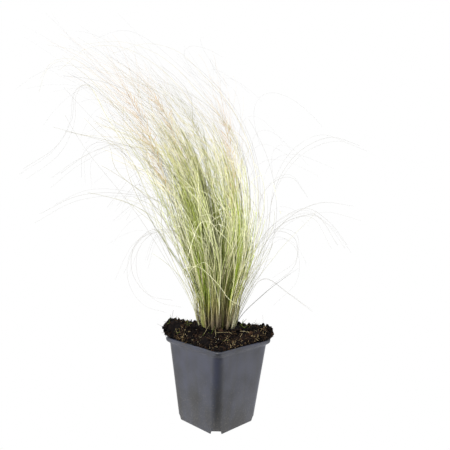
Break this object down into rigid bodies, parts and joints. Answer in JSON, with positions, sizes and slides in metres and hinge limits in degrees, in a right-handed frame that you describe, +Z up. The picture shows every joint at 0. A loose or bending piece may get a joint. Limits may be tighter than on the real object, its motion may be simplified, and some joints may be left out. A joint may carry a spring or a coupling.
{
  "type": "potted feather grass",
  "caption": "Clump of thread-fine ornamental grass that fans out and bends to one side, in a square nursery pot filled with dark potting soil.",
  "frame": {"origin": "middle of the pot's underside, on the ground that the pot stands on", "axes": "+Z up; the pot's sides face X and Y; the clump bends over towards the pot's -X -Y corner"},
  "size_m": [0.3366, 0.3281, 0.4474],
  "materials": {
    "pot": "satin",
    "soil": "rough",
    "leaf": "satin",
    "flower": "satin"
  },
  "bodies": {
    "root": {"pot": "pot", "soil": "soil", "leaf_tuft_01": "leaf", "leaf_tuft_02": "leaf", "leaf_tuft_03": "leaf", "leaf_tuft_04": "leaf", "leaf_tuft_05": "leaf", "leaf_tuft_06": "leaf", "leaf_tuft_07": "leaf", "leaf_tuft_08": "leaf", "leaf_tuft_09": "leaf", "leaf_tuft_10": "leaf", "leaf_tuft_11": "leaf", "leaf_tuft_12": "leaf", "leaf_tuft_13": "leaf", "leaf_tuft_14": "leaf", "leaf_tuft_15": "leaf", "leaf_tuft_16": "leaf", "leaf_tuft_17": "leaf", "leaf_tuft_18": "leaf", "leaf_tuft_19": "leaf", "leaf_tuft_20": "leaf", "leaf_tuft_21": "leaf", "leaf_tuft_22": "leaf", "leaf_tuft_23": "leaf", "leaf_tuft_24": "leaf", "leaf_tuft_25": "leaf", "leaf_tuft_26": "leaf", "leaf_tuft_27": "leaf", "leaf_tuft_28": "leaf", "leaf_tuft_29": "leaf", "leaf_tuft_30": "leaf", "flower_stem_01": "flower", "flower_stem_02": "flower", "flower_stem_03": "flower", "flower_stem_04": "flower", "flower_stem_05": "flower", "flower_stem_06": "flower", "flower_stem_07": "flower", "flower_stem_08": "flower", "flower_stem_09": "flower", "flower_stem_10": "flower", "flower_stem_11": "flower", "flower_stem_12": "flower"}
  },
  "joints": []
}
